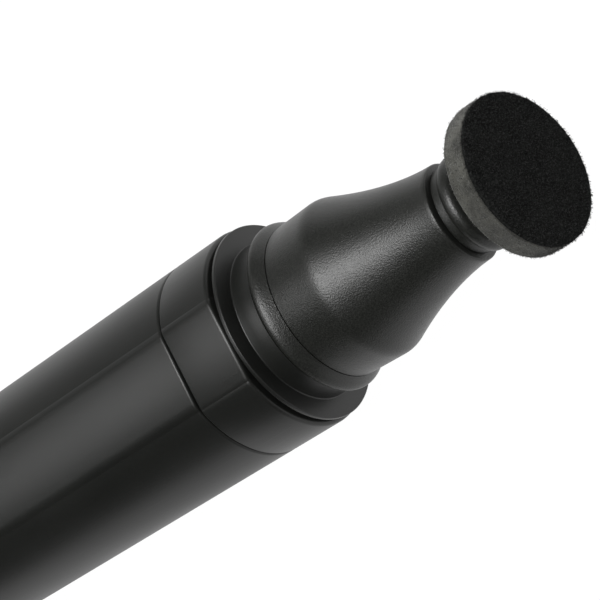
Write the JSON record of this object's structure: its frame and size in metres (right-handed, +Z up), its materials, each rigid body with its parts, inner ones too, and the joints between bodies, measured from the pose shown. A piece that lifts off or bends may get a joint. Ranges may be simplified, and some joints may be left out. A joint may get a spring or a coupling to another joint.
{
  "type": "lens cleaning pen",
  "caption": "Uncapped lens cleaning pen: flatted barrel with a thumb-slid dust brush in the rear end and a round wiping pad on a tilting neck at the front.",
  "frame": {"origin": "under the middle of the pen, on the surface it lies on", "axes": "+X along the pen towards the cleaning pad, +Z up through the thumb slider, +Y to the left of the slider seen from the rear"},
  "size_m": [0.114, 0.016, 0.0177],
  "materials": {
    "black_satin_plastic": "satin moulded black with a very fine haze",
    "black_grained_plastic": "fine spark-eroded grain, black",
    "black_nylon": "plain moulded black nylon",
    "white_acetal": "natural white acetal, slightly waxy",
    "polished_steel": "polished",
    "spring_steel": "rolled spring strip",
    "nickelled_brass": "bright nickel plate",
    "amber_resin": "clear amber setting resin",
    "goat_hair": "soft natural hair",
    "grey_felt": "dense warm-grey felt",
    "black_chamois": "black napped chamois"
  },
  "bodies": {
    "barrel": {"barrel_shell": "black_satin_plastic", "front_collar": "black_satin_plastic", "neck_socket": "black_satin_plastic", "rear_nose_ring": "black_satin_plastic", "cap_snap_ring": "black_grained_plastic", "tip_bell": "black_grained_plastic", "tip_bead": "black_grained_plastic", "bulkhead_plug": "black_nylon", "tip_core": "black_nylon", "guide_sleeve": "white_acetal", "ball_stud": "polished_steel"},
    "pivot": {"pivot_liner": "white_acetal"},
    "pad": {"pad_carrier": "black_nylon", "pad_backing": "grey_felt", "cleaning_pad": "black_chamois"},
    "brush": {"brush_carriage": "black_nylon", "thumb_slider": "black_satin_plastic", "detent_spring": "spring_steel", "brush_ferrule": "nickelled_brass", "ferrule_plug": "amber_resin", "brush_tuft": "goat_hair"}
  },
  "joints": [
    {"name": "brush_slide", "type": "slide", "parent": "barrel", "child": "brush", "axis": [-1, 0, 0], "range_m": [0, 0.027]},
    {"name": "pad_pitch", "type": "hinge", "parent": "barrel", "child": "pivot", "pos_m": [0.0525, 0, 0.00785], "axis": [0, -1, 0], "range_deg": [-26.8, 3.2]},
    {"name": "pad_yaw", "type": "hinge", "parent": "pivot", "child": "pad", "pos_m": [0.0525, 0, 0.00785], "axis": [-0.2045, 0, 0.9789], "range_deg": [-12.8, 17.2]}
  ]
}
